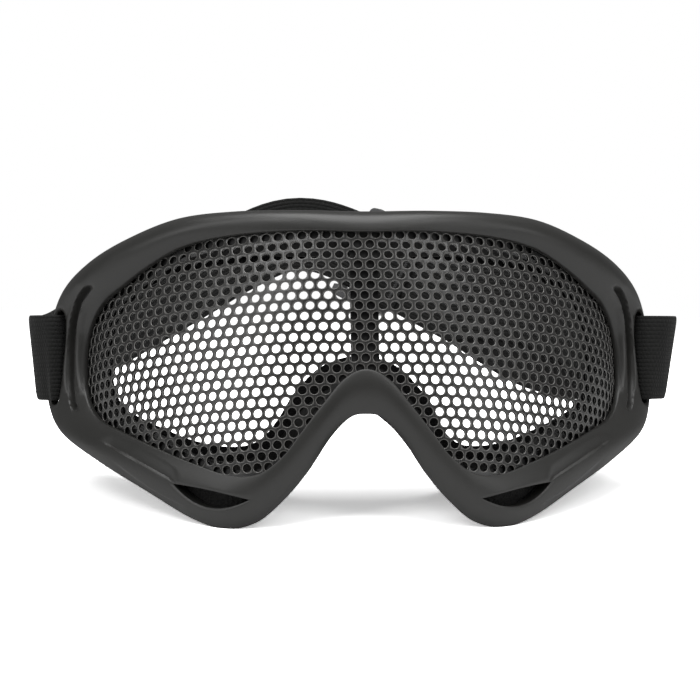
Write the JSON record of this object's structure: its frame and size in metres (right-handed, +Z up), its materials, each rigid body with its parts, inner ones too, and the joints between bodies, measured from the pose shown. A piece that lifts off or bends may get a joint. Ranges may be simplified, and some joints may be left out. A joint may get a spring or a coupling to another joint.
{
  "type": "mesh safety goggles",
  "caption": "Wrap-round safety goggles with a bent perforated steel sheet in place of a lens, a soft frame, face foam and an elastic head strap.",
  "frame": {"origin": "on the table under the middle of the box round the goggles as they rest on their cheek lobes", "axes": "+X to the wearer's left, +Y from the mesh towards the back of the head, +Z up"},
  "size_m": [0.2015, 0.176, 0.0873],
  "materials": {
    "soft_frame": "matte, soft sheen",
    "black_steel_mesh": "satin black paint",
    "dark_plastic": "matte",
    "closed_foam": "matte closed cells",
    "facing_cloth": "brushed",
    "open_foam": "open cells",
    "elastic_webbing": "woven",
    "glossy_plastic": "glossy",
    "thread": "twisted thread"
  },
  "bodies": {
    "goggle_body": {"main_frame": "soft_frame", "mesh_lens": "black_steel_mesh", "lens_retainer": "dark_plastic", "face_foam": "closed_foam", "foam_facing": "facing_cloth", "vent_filter_left": "open_foam", "vent_filter_right": "open_foam"},
    "head_strap": {"elastic_strap": "elastic_webbing", "strap_return_ply": "elastic_webbing", "frame_loop_stitches": "thread"},
    "slider": {"strap_slider": "glossy_plastic", "strap_end_loop": "elastic_webbing", "slider_loop_stitches": "thread"}
  },
  "joints": [
    {"name": "strap_tilt", "type": "hinge", "parent": "goggle_body", "child": "head_strap", "pos_m": [0, -0.02326, 0.03809], "axis": [1, 0, 0], "range_deg": [-3, 3]},
    {"name": "slider_slide", "type": "slide", "parent": "head_strap", "child": "slider", "axis": [0.8188, -0.4146, -0.3971], "range_m": [-0.002, 0.014], "deforming": ["strap_return_ply"]}
  ]
}
